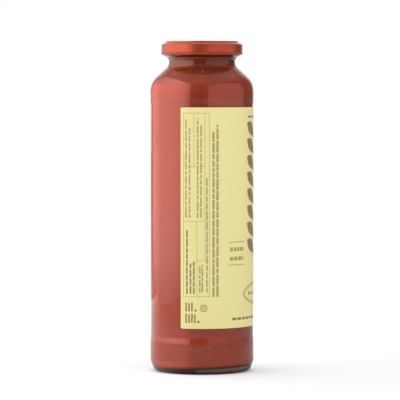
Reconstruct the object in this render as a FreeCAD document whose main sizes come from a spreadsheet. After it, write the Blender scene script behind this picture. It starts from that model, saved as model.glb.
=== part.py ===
"""Jar of pasta sauce: a 720 ml glass jar with a 53 mm twist-off lid, its filling and its wrapped label.

The jar stands on z = 0 with its axis on Z, and the middle of its label faces -Y. Every length is in
millimetres. The driving dimensions are in the spreadsheet Sizes. PLACES names what follows from them,
and each sketch, feature and angle below is bound to those names by an expression.
"""
import FreeCAD, Part
import math
import os
import re
import Sketcher

# ---------------------------------------------------------------- driving dimensions
SIZES = [
    # the glass below the finish, from the standing ring upwards
    ("body_radius", 35.85, "outside of the two contact rings, the widest part"),
    ("wall", 2.1, "glass wall of the body"),
    ("heel_height", 8.2, "standing ring to the lower contact ring"),
    ("heel_inset", 2.6, "how far the heel draws in at its foot"),
    ("heel_round", 4.2, "rounding from the heel to the standing ring"),
    ("low_ring_height", 12.8, "lower contact ring"),
    ("low_step_height", 4.0, "slope from the lower ring to the label panel"),
    ("panel_height", 162.0, "label panel"),
    ("panel_inset", 0.3, "depth of the label panel below the contact rings"),
    ("high_step_height", 1.2, "slope from the label panel to the upper ring"),
    ("high_ring_height", 11.65, "upper contact ring to the corner of the shoulder"),
    ("shoulder_height", 11.72, "corner of the shoulder to the foot of the neck"),
    ("shoulder_round", 13.5, "rounding of the shoulder"),
    ("neck_flare", 5.6, "hollow rounding from the shoulder to the neck"),
    ("neck_height", 4.63, "neck below the transfer bead"),
    ("seam_proud", 0.15, "ridge left where the mould meets its bottom plate"),
    ("seam_height", 0.5, "height of that ridge"),
    # the base
    ("base_thick", 4.5, "glass at the edge of the floor"),
    ("floor_rise", 1.6, "how much the floor rises to the middle"),
    ("floor_round", 5.0, "rounding from the wall to the floor"),
    ("push_up", 3.0, "rise of the hollow under the base"),
    ("stand_width", 4.9, "foot of the heel to the inner edge of the standing ring"),
    # the finish, the moulded mouth that the lid grips
    ("finish_radius", 24.4, "plain wall of the finish"),
    ("finish_wall", 3.2, "glass at the mouth, which sets the bore"),
    ("neck_inset", 1.5, "neck below the finish wall"),
    ("bead_overhang", 2.35, "transfer bead beyond the finish wall"),
    ("bead_under", 2.3, "height of the slope under the bead"),
    ("bead_edge", 0.4, "upright edge of the bead"),
    ("bead_over", 0.7, "height of the slope on top of the bead"),
    ("finish_height", 7.7, "top of the bead to the rim"),
    ("rim_round", 1.1, "rounding of the rim, inside and outside"),
    # the lug ramps on the finish
    ("lugs", 4, "ramps on the glass and lugs on the lid"),
    ("ramp_depth", 1.3, "ramp beyond the finish wall"),
    ("ramp_thick", 1.6, "ramp at its root"),
    ("ramp_slant", 0.5, "slant of the ramp's upper flank"),
    ("ramp_drop", 6.1, "rim to the underside of the ramp where a lug seats"),
    ("seat_angle", 30.0, "level part of a ramp, over its lug"),
    ("lead_angle", 44.0, "rising part of a ramp, which lets the lug in"),
    ("lead_rise", 2.0, "climb of the rising part"),
    # the lid, pressed from sheet steel
    ("sheet", 0.22, "steel sheet"),
    ("gasket_thick", 0.83, "sealing compound between the rim and the lid"),
    ("gasket_gap", 0.1, "sealing compound clear of the stacking ring's wall"),
    ("stack_ring_over", 0.7, "outside of the raised stacking ring, beyond the finish wall"),
    ("stack_ring_width", 3.3, "top of the stacking ring"),
    ("stack_ring_drop", 0.85, "stacking ring down to the sloping shoulder of the lid"),
    ("shoulder_drop", 2.3, "stacking ring down to the corner of the skirt"),
    ("panel_drop", 0.75, "stacking ring down to the centre panel"),
    ("button_radius", 9.0, "safety button"),
    ("button_drop", 0.5, "safety button drawn down by the vacuum"),
    ("curl_width", 1.41, "rolled edge of the skirt, across"),
    ("curl_height", 1.6, "rolled edge of the skirt, upwards"),
    ("curl_proud", 0.22, "rolled edge beyond the skirt"),
    ("curl_gap", 0.12, "rolled edge clear of the bead, all round and below"),
    ("lug_gap", 0.45, "lug clear of the finish wall"),
    ("lug_thick", 1.35, "lug, from its foot to its seat"),
    ("lug_angle", 20.0, "width of a lug as an angle"),
    ("lug_play", 0.04, "lug below the ramp that it grips"),
    # the filling and the label
    ("headspace", 6.1, "rim down to the sauce"),
    ("label_height", 151.1, "label, upwards"),
    ("label_width", 151.5, "label, round the jar"),
    ("label_lift", 6.8, "foot of the panel to the foot of the label"),
    ("label_thick", 0.12, "paper and glue"),
    ("label_corner", 1.3, "rounding of the label's corners"),
    ("label_facing", -90.0, "direction of the label's middle, from +X"),
]

# ---------------------------------------------------------------- places that follow from them
PLACES = {
    "panel_radius": "body_radius - panel_inset",
    "neck_radius": "finish_radius - neck_inset",
    "bore_radius": "finish_radius - finish_wall",
    "bead_radius": "finish_radius + bead_overhang",
    "ramp_radius": "finish_radius + ramp_depth",
    "low_ring_top_z": "heel_height + low_ring_height",
    "panel_low_z": "low_ring_top_z + low_step_height",
    "panel_high_z": "panel_low_z + panel_height",
    "high_ring_z": "panel_high_z + high_step_height",
    "shoulder_z": "high_ring_z + high_ring_height",
    "neck_foot_z": "shoulder_z + shoulder_height",
    "bead_foot_z": "neck_foot_z + neck_height",
    "bead_edge_z": "bead_foot_z + bead_under",
    "bead_top_z": "bead_edge_z + bead_edge",
    "finish_foot_z": "bead_top_z + bead_over",
    "rim_z": "finish_foot_z + finish_height",
    "seat_z": "rim_z - ramp_drop",
    "sauce_top_z": "rim_z - headspace",
    # half the turn from the neck to the shoulder, for an inside that keeps the wall even
    "half_turn": "atan2(body_radius - neck_radius; shoulder_height) / 2",
    "wall_drop": "wall * tan(half_turn)",
    "lid_top_z": "rim_z + gasket_thick + sheet",
    "stack_ring_radius": "finish_radius + stack_ring_over",
    "curl_low_z": "bead_top_z + curl_gap",
    "curl_top_z": "curl_low_z + curl_height",
    "curl_in": "bead_radius + curl_gap",
    "curl_out": "curl_in + curl_width",
    "skirt_radius": "curl_out - curl_proud",
    "lug_top_z": "seat_z - lug_play",
    "gasket_outer": "stack_ring_radius - sheet - gasket_gap",
    "gasket_inner": "stack_ring_radius - stack_ring_width + sheet",
    "label_low_z": "panel_low_z + label_lift",
    "label_high_z": "label_low_z + label_height",
}


# ---------------------------------------------------------------- the document and its formulas
doc = FreeCAD.newDocument("sauce_jar")
sheet = doc.addObject("Spreadsheet::Sheet", "Sizes")
for row, (alias, number, meaning) in enumerate(SIZES, start=1):
    sheet.set(f"A{row}", alias)
    sheet.set(f"B{row}", str(number))
    sheet.set(f"C{row}", meaning)
    sheet.setAlias(f"B{row}", alias)
doc.recompute()
CELLS = {alias for alias, number, meaning in SIZES}


def formula(text):
    """Turn a text such as 'rim_z - headspace' into an expression on the sheet's cells."""
    def expand(match):
        word = match.group(0)
        if word in PLACES:
            return "(" + formula(PLACES[word]) + ")"
        return f"Sizes.{word}" if word in CELLS else word
    return re.sub(r"[a-z_]+[a-z0-9_]*", expand, str(text))


def value(text):
    """The number that a formula gives now."""
    return float(sheet.evalExpression(formula(text)))


def bind(feature, **sizes):
    """Bind properties of a feature to formulas."""
    for name, text in sizes.items():
        feature.setExpression(name, formula(text))


# ---------------------------------------------------------------- sketches
def new_body(name):
    """A part of the jar, named after its file."""
    body = doc.addObject("PartDesign::Body", name)
    body.Label = name
    body.Placement = FreeCAD.Placement()
    return body


def origin_feature(body, role):
    """The body's own plane or axis with this role."""
    return next(item for item in body.Origin.OriginFeatures if item.Role == role)


def half_section(body, name, turn="0"):
    """A sketch in the plane through the jar's axis: across is the radius, and up is the height."""
    sketch = body.newObject("Sketcher::SketchObject", name)
    sketch.AttachmentSupport = (origin_feature(body, "XZ_Plane"), [""])
    sketch.MapMode = "FlatFace"
    sketch.AttachmentOffset = FreeCAD.Placement(
        FreeCAD.Vector(), FreeCAD.Rotation(FreeCAD.Vector(0, 1, 0), value(turn)))
    if turn != "0":
        bind(sketch, **{"AttachmentOffset.Rotation.Angle": turn})
    return sketch


def pin(sketch, geometry, point, across, up):
    """Hold a point of a sketch at a radius and a height, each given by a formula."""
    for kind, axis, text in (("DistanceX", -2, across), ("DistanceY", -1, up)):
        if text == "0":
            sketch.addConstraint(Sketcher.Constraint("PointOnObject", geometry, point, axis))
            continue
        rule = Sketcher.Constraint(kind, -1, 1, geometry, point, value(text))
        sketch.setExpression(f"Constraints[{sketch.addConstraint(rule)}]", formula(text))


def rounded_corner(sketch, corner, before, after, size):
    """An arc tangent to the lines before and after a corner, which stays as a construction point."""
    centre, start, end, turns_left = corner["arc"]
    first, last = (start, end) if turns_left else (end, start)
    angles = [math.atan2(point.y - centre.y, point.x - centre.x) for point in (first, last)]
    circle = Part.Circle(centre, FreeCAD.Vector(0, 0, 1), value(size))
    arc = sketch.addGeometry(Part.ArcOfCircle(circle, *angles), False)
    mark = sketch.addGeometry(Part.Point(corner["at"]), True)
    arrives, leaves = (1, 2) if turns_left else (2, 1)
    for rule in (
            Sketcher.Constraint("Tangent", before, 2, arc, arrives),
            Sketcher.Constraint("Tangent", arc, leaves, after, 1),
            Sketcher.Constraint("PointOnObject", mark, 1, before),
            Sketcher.Constraint("PointOnObject", mark, 1, after)):
        sketch.addConstraint(rule)
    radius = sketch.addConstraint(Sketcher.Constraint("Radius", arc, value(size)))
    sketch.setExpression(f"Constraints[{radius}]", formula(size))
    return mark


def corner_geometry(previous, at, following, size):
    """Where the lines at a corner stop, and the arc that joins them if it is rounded."""
    if size == "0":
        return {"at": at, "in": at, "out": at}
    back = (previous - at).normalize()
    ahead = (following - at).normalize()
    half = back.getAngle(ahead) / 2
    reach = value(size) / math.tan(half)
    centre = at + (back + ahead).normalize() * (value(size) / math.sin(half))
    turns_left = back.cross(ahead).z < 0
    start, end = at + back * reach, at + ahead * reach
    return {"at": at, "in": start, "out": end, "arc": (centre, start, end, turns_left)}


def draw_outline(sketch, corners):
    """Draw a closed outline of lines through corners (radius, height, rounding), all bound to the sheet."""
    corners = [(str(across), str(up), str(size)) for across, up, size in corners]
    points = [FreeCAD.Vector(value(across), value(up), 0) for across, up, size in corners]
    count = len(points)
    places = [corner_geometry(points[i - 1], points[i], points[(i + 1) % count], corners[i][2])
              for i in range(count)]
    lines = [sketch.addGeometry(Part.LineSegment(places[i]["out"], places[(i + 1) % count]["in"]), False)
             for i in range(count)]
    for i, (across, up, size) in enumerate(corners):
        before, after = lines[i - 1], lines[i]
        if size == "0":
            sketch.addConstraint(Sketcher.Constraint("Coincident", before, 2, after, 1))
            pin(sketch, after, 1, across, up)
        else:
            mark = rounded_corner(sketch, places[i], before, after, size)
            pin(sketch, mark, 1, across, up)


def turned(body, kind, name, corners, angle="360", turn="0"):
    """A Revolution or a Groove about the jar's axis, from an outline in the half-section."""
    sketch = half_section(body, f"{name}_section", turn)
    draw_outline(sketch, corners)
    feature = body.newObject(f"PartDesign::{kind}", name)
    feature.Profile = sketch
    feature.ReferenceAxis = (sketch, ["V_Axis"])
    feature.Angle = value(angle)
    if angle != "360":
        feature.Midplane = True
        bind(feature, Angle=angle)
    sketch.Visibility = False
    doc.recompute()
    return feature


def around(body, name, features):
    """Repeat features round the jar's axis, once for each lug."""
    pattern = body.newObject("PartDesign::PolarPattern", name)
    pattern.Originals = features
    pattern.Axis = (origin_feature(body, "Z_Axis"), [""])
    pattern.Angle = 360
    pattern.Occurrences = int(value("lugs"))
    bind(pattern, Occurrences="lugs")
    body.Tip = pattern
    doc.recompute()
    return pattern


def circle_at(shape, radius, height):
    """The name of the circular edge with this radius at this height."""
    for number, edge in enumerate(shape.Edges, start=1):
        if not isinstance(edge.Curve, Part.Circle):
            continue
        if abs(edge.Curve.Radius - radius) < 1e-4 and abs(edge.CenterOfMass.z - height) < 1e-4:
            return f"Edge{number}"
    raise ValueError(f"no circle of radius {radius} at height {height}")


# ---------------------------------------------------------------- the glass jar
# The inside of the body, from the middle of the floor to the bore. The shoulder keeps the wall even:
# its corners lie on the bisectors of the outside corners, and its arcs share their centres.
INSIDE = [
    ("0", "base_thick + floor_rise", "0"),
    ("body_radius / 4", "base_thick + floor_rise", "body_radius"),
    ("body_radius - wall", "base_thick", "floor_round"),
    ("body_radius - wall", "low_ring_top_z", "3"),
    ("panel_radius - wall", "panel_low_z", "3"),
    ("panel_radius - wall", "panel_high_z", "1"),
    ("body_radius - wall", "high_ring_z", "1"),
    ("body_radius - wall", "shoulder_z - wall_drop", "shoulder_round - wall"),
    ("neck_radius - wall", "neck_foot_z - wall_drop", "neck_flare + wall"),
    ("neck_radius - wall", "bead_foot_z", "0.6"),
    ("bore_radius", "bead_edge_z", "0.6"),
]

# The outside, from the middle of the base, over the standing ring and up to the rim.
OUTSIDE = [
    ("0", "push_up", "0"),
    ("body_radius / 3", "push_up", "body_radius"),
    ("body_radius - heel_inset - stand_width - push_up / 2", "push_up / 2", "3"),
    ("body_radius - heel_inset - stand_width", "0", "0.8"),
    ("body_radius - heel_inset", "0", "heel_round"),
    ("body_radius", "heel_height - seam_height", "0"),
    ("body_radius + seam_proud", "heel_height - seam_height / 2", "0"),
    ("body_radius", "heel_height", "0"),
    ("body_radius", "low_ring_top_z", "3"),
    ("panel_radius", "panel_low_z", "3"),
    ("panel_radius", "panel_high_z", "1"),
    ("body_radius", "high_ring_z", "1"),
    ("body_radius", "shoulder_z", "shoulder_round"),
    ("neck_radius", "neck_foot_z", "neck_flare"),
    ("neck_radius", "bead_foot_z", "0.5"),
    ("bead_radius", "bead_edge_z", "0.15"),
    ("bead_radius", "bead_top_z", "0.15"),
    ("finish_radius", "finish_foot_z", "0.5"),
    ("finish_radius", "rim_z", "rim_round"),
    ("0", "rim_z", "0"),
]


# A ramp, rooted in the finish wall: level underneath, where the lug bears, and slanted on top.
RAMP = [
    ("finish_radius - finish_wall / 4", "seat_z", "0"),
    ("ramp_radius", "seat_z", "0.2"),
    ("ramp_radius", "seat_z + ramp_thick - ramp_slant", "0.3"),
    ("finish_radius - finish_wall / 4", "seat_z + ramp_thick", "0"),
]


def make_jar():
    """Glass: a turned solid, hollowed, with a rounded rim and the ramps that the lid's lugs grip."""
    body = new_body("jar")
    turned(body, "Revolution", "jar_outside", OUTSIDE)
    mouth = [("bore_radius", "rim_z", "0"), ("0", "rim_z", "0")]
    hollow = turned(body, "Groove", "jar_inside", INSIDE + mouth)
    rim = body.newObject("PartDesign::Fillet", "rim_inside")
    rim.Base = (hollow, [circle_at(hollow.Shape, value("bore_radius"), value("rim_z"))])
    rim.Radius = value("rim_round")
    bind(rim, Radius="rim_round")
    doc.recompute()
    seat = turned(body, "Revolution", "ramp_seat", RAMP, angle="seat_angle")
    lead_sketch = half_section(body, "ramp_lead_section", turn="seat_angle / 2")
    draw_outline(lead_sketch, RAMP)
    lead = body.newObject("PartDesign::AdditiveHelix", "ramp_lead")
    lead.Profile = lead_sketch
    lead.ReferenceAxis = (lead_sketch, ["V_Axis"])
    lead.Mode = "height-turns-angle"
    lead.Height = value("lead_rise")
    lead.Turns = value("lead_angle / 360")
    bind(lead, Height="lead_rise", Turns="lead_angle / 360")
    lead_sketch.Visibility = False
    doc.recompute()
    around(body, "ramps", [seat, lead])
    return body


# ---------------------------------------------------------------- the sauce
def make_sauce():
    """The filling: everything inside the glass up to its level in the finish."""
    body = new_body("sauce")
    level = [("bore_radius", "sauce_top_z", "0"), ("0", "sauce_top_z", "0")]
    turned(body, "Revolution", "sauce_fill", INSIDE + level)
    return body


# ---------------------------------------------------------------- the lid and its seal
LID_OUTSIDE = [
    ("0", "lid_top_z - panel_drop - button_drop", "0"),
    ("button_radius - 2.4 * button_drop", "lid_top_z - panel_drop - button_drop", "1"),
    ("button_radius", "lid_top_z - panel_drop", "1"),
    ("stack_ring_radius - stack_ring_width - panel_drop", "lid_top_z - panel_drop", "0.6"),
    ("stack_ring_radius - stack_ring_width", "lid_top_z", "0.5"),
    ("stack_ring_radius", "lid_top_z", "0.4"),
    ("stack_ring_radius + 0.1", "lid_top_z - stack_ring_drop", "0.4"),
    ("skirt_radius", "lid_top_z - shoulder_drop", "0.9"),
    ("skirt_radius", "curl_top_z", "0"),
    ("0", "curl_top_z", "0"),
]

CURL = [
    ("skirt_radius", "curl_top_z", "0"),
    ("curl_out", "curl_top_z - curl_proud * 1.6", "0.3"),
    ("curl_out", "curl_low_z", "curl_width * 0.46"),
    ("curl_in", "curl_low_z", "curl_width * 0.46"),
    ("curl_in", "curl_top_z - sheet", "0"),
    ("curl_in + sheet", "curl_top_z - sheet", "0"),
    ("curl_in + sheet", "curl_low_z + sheet", "curl_width * 0.46 - sheet"),
    ("curl_out - sheet", "curl_low_z + sheet", "curl_width * 0.46 - sheet"),
    ("curl_out - sheet", "curl_top_z - curl_proud * 2", "0"),
    ("skirt_radius - sheet", "curl_top_z", "0"),
]

# A lug reaches in from the skirt, across the rolled edge, to just short of the finish wall.
LUG = [
    ("skirt_radius - sheet / 2", "lug_top_z - lug_thick", "0"),
    ("skirt_radius - sheet / 2", "lug_top_z", "0"),
    ("finish_radius + lug_gap", "lug_top_z", "0.3"),
    ("finish_radius + lug_gap", "lug_top_z - lug_thick", "0.5"),
]


def make_lid():
    """Pressed steel: a shelled blank with a stacking ring and a button, a rolled edge and its lugs."""
    body = new_body("lid")
    blank = turned(body, "Revolution", "lid_blank", LID_OUTSIDE)
    underside = min(range(len(blank.Shape.Faces)), key=lambda i: blank.Shape.Faces[i].CenterOfMass.z)
    shell = body.newObject("PartDesign::Thickness", "lid_shell")
    shell.Base = (blank, [f"Face{underside + 1}"])
    shell.Value = value("sheet")
    shell.Mode = "Skin"
    shell.Join = "Intersection"
    shell.Reversed = True
    bind(shell, Value="sheet")
    doc.recompute()
    turned(body, "Revolution", "lid_curl", CURL)
    lug = turned(body, "Revolution", "lid_lug", LUG, angle="lug_angle")
    around(body, "lid_lugs", [lug])
    return body


# The compound fills the stacking ring from below: upright outside, and sloping like the ring inside.
GASKET = [
    ("gasket_inner - panel_drop", "rim_z", "0"),
    ("gasket_outer", "rim_z", "0.3"),
    ("gasket_outer", "rim_z + gasket_thick", "0.1"),
    ("gasket_inner", "rim_z + gasket_thick", "0"),
]


def make_lid_gasket():
    """Sealing compound: a ring in the lid's channel, pressed on the rim of the glass."""
    body = new_body("lid_gasket")
    turned(body, "Revolution", "gasket_ring", GASKET)
    return body


# ---------------------------------------------------------------- the label
def make_label():
    """Paper wrapped round the panel, with rounded corners and a bare strip of glass behind."""
    body = new_body("label")
    wrap = turned(body, "Revolution", "label_wrap", [
        ("panel_radius", "label_low_z", "0"),
        ("panel_radius + label_thick", "label_low_z", "0"),
        ("panel_radius + label_thick", "label_high_z", "0"),
        ("panel_radius", "label_high_z", "0"),
    ], angle="label_width / panel_radius * 180 / pi")
    corners = [f"Edge{number}" for number, edge in enumerate(wrap.Shape.Edges, start=1)
               if abs(edge.Length - value("label_thick")) < 1e-4]
    rounding = body.newObject("PartDesign::Fillet", "label_corners")
    rounding.Base = (wrap, corners)
    rounding.Radius = value("label_corner")
    bind(rounding, Radius="label_corner")
    body.Placement = FreeCAD.Placement(
        FreeCAD.Vector(), FreeCAD.Rotation(FreeCAD.Vector(0, 0, 1), value("label_facing")))
    bind(body, **{"Placement.Rotation.Angle": "label_facing"})
    doc.recompute()
    return body


# ---------------------------------------------------------------- build, check and write
parts = [make_jar(), make_sauce(), make_lid(), make_lid_gasket(), make_label()]
doc.recompute()
for item in doc.Objects:
    if {"Invalid", "Error"} & set(item.State):
        raise RuntimeError(f"{item.Name} failed: {item.State}")
os.makedirs("parts", exist_ok=True)
for part in parts:
    shape = part.Shape
    if shape.isNull() or not shape.isValid() or len(shape.Solids) != 1:
        raise RuntimeError(f"{part.Label} is not one valid solid")
    shape.exportStep(f"parts/{part.Label}.step")
    box = shape.BoundBox
    print(f"{part.Label:12} volume {shape.Volume / 1000:8.2f} cm3   z {box.ZMin:7.2f} to {box.ZMax:7.2f}"
          f"   x {box.XMin:7.2f} to {box.XMax:7.2f}   faces {len(shape.Faces)}")
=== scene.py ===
# %% [markdown]
# # A jar of pasta sauce
# A glass jar of sauce is four simple crafts in one object: a body of revolution blown in glass, a thick
# liquid that fills it, a lid pressed from sheet steel and a sheet of paper wrapped round the middle.
# This notebook makes each one as a surface worked out with numpy, gives it a finish made of nodes, and
# lights it as a small studio would. Lengths are in millimetres until a mesh is made, then in metres.

# %% Load the fixed frame
import math

import bmesh
import bpy
import numpy as np
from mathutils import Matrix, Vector


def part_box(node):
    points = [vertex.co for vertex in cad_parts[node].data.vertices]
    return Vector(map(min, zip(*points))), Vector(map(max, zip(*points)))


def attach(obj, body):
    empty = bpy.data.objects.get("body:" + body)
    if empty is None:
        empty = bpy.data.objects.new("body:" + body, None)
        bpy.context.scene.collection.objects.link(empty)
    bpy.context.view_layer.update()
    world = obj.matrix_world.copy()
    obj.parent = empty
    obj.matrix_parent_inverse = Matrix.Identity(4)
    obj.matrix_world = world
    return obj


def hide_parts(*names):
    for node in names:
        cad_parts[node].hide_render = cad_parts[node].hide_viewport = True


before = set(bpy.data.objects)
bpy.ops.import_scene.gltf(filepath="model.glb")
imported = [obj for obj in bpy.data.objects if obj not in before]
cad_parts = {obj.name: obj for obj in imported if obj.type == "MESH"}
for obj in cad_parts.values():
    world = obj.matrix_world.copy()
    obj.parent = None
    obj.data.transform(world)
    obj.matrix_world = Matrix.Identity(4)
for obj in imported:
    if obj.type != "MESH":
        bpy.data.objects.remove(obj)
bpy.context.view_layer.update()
MM = 0.001
print("solids:", sorted(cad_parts))

# %% [markdown]
# The frame already says how large everything is, so the driving sizes are read from it: the widest ring of
# the jar, its rim, the level of the sauce, the lid's edge and the label's height. Only the small sizes that
# a box can't tell, such as roundings, are written down here, the way a mould maker's drawing gives them.

# %% Sizes read from the frame
def box_mm(node):
    """The lowest and highest corner of a solid, in millimetres."""
    low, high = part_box(node)
    return np.array(low) / MM, np.array(high) / MM


jar_high, sauce_high = box_mm("jar")[1], box_mm("sauce")[1]
lid_low, lid_high = box_mm("lid")
label_low, label_high = box_mm("label")

PARTING = 0.15                               # ridge where the mould meets its bottom plate
RING = jar_high[0] - PARTING                 # contact rings, the widest part of the glass
PANEL = RING - 0.3                           # recessed label panel
WALL = RING - sauce_high[0]                  # thickness of the glass
RIM, LEVEL, LID_TOP = jar_high[2], sauce_high[2], lid_high[2]
CURL = lid_high[0]                           # outside of the lid's rolled edge
LABEL = -label_low[1]                        # outside of the paper
print(f"ring {RING:.2f}  panel {PANEL:.2f}  wall {WALL:.2f}  rim {RIM:.2f}  level {LEVEL:.2f}")
print(f"lid top {LID_TOP:.2f}  curl {CURL:.2f}  label {LABEL:.2f}")

# %% [markdown]
# ## Tools for turned shapes
# A potter, a glass mould and a lathe all make the same kind of surface: a profile carried round an axis.
# Blender has a Screw modifier for that, but here the profile is an array of points and the turn is an
# array of angles, so the whole surface is one product of arrays and any relief can be added as a formula.
# A drawing gives a profile as corners with roundings, so the first helper turns corners into points, and
# the second cuts the long stretches between them.

# %% From corners to points
def rounded_profile(corners, arc_points=7):
    """Points of a line through corners (radius, height, rounding).

    At each rounded corner the line follows a circle tangent to both its sides: the circle's centre lies on
    the bisector, at rounding / sin(half the corner's angle), and its points are spaced evenly in angle.
    """
    corners = np.array(corners, float)
    points = []
    for i, (radius, height, rounding) in enumerate(corners):
        at = np.array([radius, height])
        if rounding == 0 or i in (0, len(corners) - 1):
            points.append(at[None])
            continue
        back = corners[i - 1, :2] - at
        ahead = corners[i + 1, :2] - at
        back, ahead = back / np.linalg.norm(back), ahead / np.linalg.norm(ahead)
        half = math.acos(np.clip(back @ ahead, -1, 1)) / 2
        middle = (back + ahead) / np.linalg.norm(back + ahead)
        centre = at + middle * rounding / math.sin(half)
        reach = rounding / math.tan(half)
        first, last = at + back * reach - centre, at + ahead * reach - centre
        share = np.linspace(0, 1, arc_points)[:, None]
        turn = math.pi - 2 * half
        arc = (np.sin((1 - share) * turn) * first + np.sin(share * turn) * last) / math.sin(turn)
        points.append(centre + arc)
    return np.concatenate(points)


def refined(profile, longest, hold=0.25):
    """The same line with long stretches cut into even steps, and a point held close to each of their ends.

    Without the held points the smooth shading of a rounding would bleed along the whole flat beside it.
    """
    pieces = []
    for a, b in zip(profile[:-1], profile[1:]):
        length = np.linalg.norm(b - a)
        share = np.linspace(0, 1, max(1, math.ceil(length / longest)), endpoint=False)
        if length > 4 * hold:
            share = np.unique(np.concatenate([share, [hold / length, 1 - hold / length]]))
        pieces.append(a + (b - a) * share[:, None])
    return np.concatenate(pieces + [profile[-1:]])


# %% [markdown]
# Every piece here is one or more grids of points. A face joins four neighbours of the grid, so the faces
# follow from its size alone. Where a grid closes on itself, as at a seam or a pole, its points coincide and
# are welded into one, and then the faces can be turned outwards, which is only sure on a closed surface.

# %% From grids to a mesh
WELD = 1e-7                                  # metres: points closer than this are one point


def grid_faces(rows, columns):
    """Quads of a grid of points, row by row."""
    index = np.arange(rows * columns).reshape(rows, columns)
    corner = index[:-1, :-1], index[:-1, 1:], index[1:, 1:], index[1:, :-1]
    return np.stack(corner, axis=-1).reshape(-1, 4)


def mesh_piece(name, grids, smooth=True, weld=True):
    """One object from grids of points in millimetres, with seams and poles welded and faces outward."""
    points, faces, start = [], [], 0
    for grid in grids:
        rows, columns = grid.shape[:2]
        points.append(grid.reshape(-1, 3) * MM)
        faces.append(grid_faces(rows, columns) + start)
        start += rows * columns
    mesh = bpy.data.meshes.new(name)
    mesh.from_pydata(np.concatenate(points), [], np.concatenate(faces).tolist())
    if weld:
        work = bmesh.new()
        work.from_mesh(mesh)
        bmesh.ops.remove_doubles(work, verts=work.verts, dist=WELD)
        bmesh.ops.dissolve_degenerate(work, edges=work.edges, dist=WELD / 10)
        bmesh.ops.recalc_face_normals(work, faces=work.faces)
        work.to_mesh(mesh)
        work.free()
    mesh.polygons.foreach_set("use_smooth", np.full(len(mesh.polygons), smooth))
    piece = bpy.data.objects.new(name, mesh)
    bpy.context.scene.collection.objects.link(piece)
    return piece


# %% [markdown]
# The last three tools carry a profile round the jar and hand a finished piece over to the frame. A finished
# piece keeps its object at the origin, with its place in its mesh, as a solid of the frame does.

# %% Turning a profile, and handing a piece over
def turn_profile(profile, angles, relief=None):
    """A profile carried round the axis: x = r sin(a), y = -r cos(a), with a measured from the label's middle.

    relief(angle, height) is added to the radius, so that a moulded mark is part of the surface.
    """
    angle = angles[:, None]
    radius = np.broadcast_to(profile[:, 0], (len(angles), len(profile))).copy()
    height = np.broadcast_to(profile[:, 1], radius.shape)
    if relief is not None:
        radius += relief(angle, height) * (radius > 1)
    return np.stack([radius * np.sin(angle), -radius * np.cos(angle), height], axis=-1)


def full_turn(steps):
    """Angles once round, with the last point on the first."""
    return np.linspace(-math.pi, math.pi, steps + 1)


def put(piece, finish, stands_for=()):
    """Give a piece its finish and the body that it rides on."""
    piece.data.materials.append(finish)
    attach(piece, "root")
    if stands_for:
        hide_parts(*stands_for)
    triangles = sum(len(polygon.vertices) - 2 for polygon in piece.data.polygons)
    print(f"{piece.name}: {triangles} triangles")


# %% [markdown]
# ## Finishes
# Every finish is a small tree of nodes that reads Object coordinates, so it stays in place on the surface
# whatever view is taken. A few helpers keep the trees short. The first ones start a material, add a node
# with its settings and end the tree in a surface.

# %% Starting and ending a material
def new_material(name):
    """An empty material with its output node."""
    material = bpy.data.materials.new(name)
    material.use_nodes = True
    tree = material.node_tree
    tree.nodes.clear()
    return material, tree, tree.nodes.new("ShaderNodeOutputMaterial")


def add(tree, kind, inputs=None, **settings):
    """A node with its settings; an input is a number, a colour or another node's socket."""
    node = tree.nodes.new(kind)
    for key, setting in settings.items():
        setattr(node, key, setting)
    for key, entry in (inputs or {}).items():
        if isinstance(entry, bpy.types.NodeSocket):
            tree.links.new(entry, node.inputs[key])
        else:
            node.inputs[key].default_value = entry
    return node


def coated(tree, output, inputs):
    """End a tree in one Principled shader with these inputs."""
    surface = add(tree, "ShaderNodeBsdfPrincipled", inputs)
    tree.links.new(surface.outputs[0], output.inputs["Surface"])


def maths(tree, operation, first, second):
    """One sum on two numbers or sockets."""
    return add(tree, "ShaderNodeMath", {0: first, 1: second}, operation=operation).outputs[0]


# %% [markdown]
# The others are steps that most finishes take: a colour as it looks on screen, a place on the piece, soft
# noise there, a range stretched to another, two colours mixed, and a height made into a bump.

# %% Colour, place, noise and bump
def srgb(red, green, blue):
    """A colour given as it looks on screen, 0 to 255, turned into the light that Blender works in."""
    share = np.array([red, green, blue]) / 255
    light = np.where(share <= 0.04045, share / 12.92, ((share + 0.055) / 1.055) ** 2.4)
    return (*light, 1.0)


def object_place(tree, stretch=(1, 1, 1)):
    """Object coordinates, stretched along the axes, in metres."""
    place = add(tree, "ShaderNodeTexCoord")
    return add(tree, "ShaderNodeMapping", {"Vector": place.outputs["Object"], "Scale": stretch}).outputs[0]


def height_up(tree):
    """Height above the floor, in metres."""
    return add(tree, "ShaderNodeSeparateXYZ", {"Vector": object_place(tree)}).outputs["Z"]


def noise(tree, place, per_metre, detail=3.0, roughness=0.5):
    """Soft noise from 0 to 1, with this many blobs to the metre."""
    settings = {"Vector": place, "Scale": per_metre, "Detail": detail, "Roughness": roughness}
    return add(tree, "ShaderNodeTexNoise", settings).outputs["Fac"]


def remap(tree, fac, low, high, to_low=0.0, to_high=1.0):
    """Stretch a number from one range to another, held at both ends."""
    settings = {"Value": fac, "From Min": low, "From Max": high, "To Min": to_low, "To Max": to_high}
    return add(tree, "ShaderNodeMapRange", settings).outputs[0]


def blend_colours(tree, fac, first, second, how="MIX"):
    """Mix two colours, each a colour or a socket."""
    mix = add(tree, "ShaderNodeMix", data_type="RGBA", blend_type=how)
    for socket, entry in ((mix.inputs[0], fac), (mix.inputs[6], first), (mix.inputs[7], second)):
        if isinstance(entry, bpy.types.NodeSocket):
            tree.links.new(entry, socket)
        else:
            socket.default_value = entry
    return mix.outputs[2]


def bump(tree, height, depth, strength=1.0):
    """A bump whose full height is a depth in millimetres."""
    settings = {"Height": height, "Distance": depth * MM, "Strength": strength}
    return add(tree, "ShaderNodeBump", settings).outputs[0]


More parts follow.
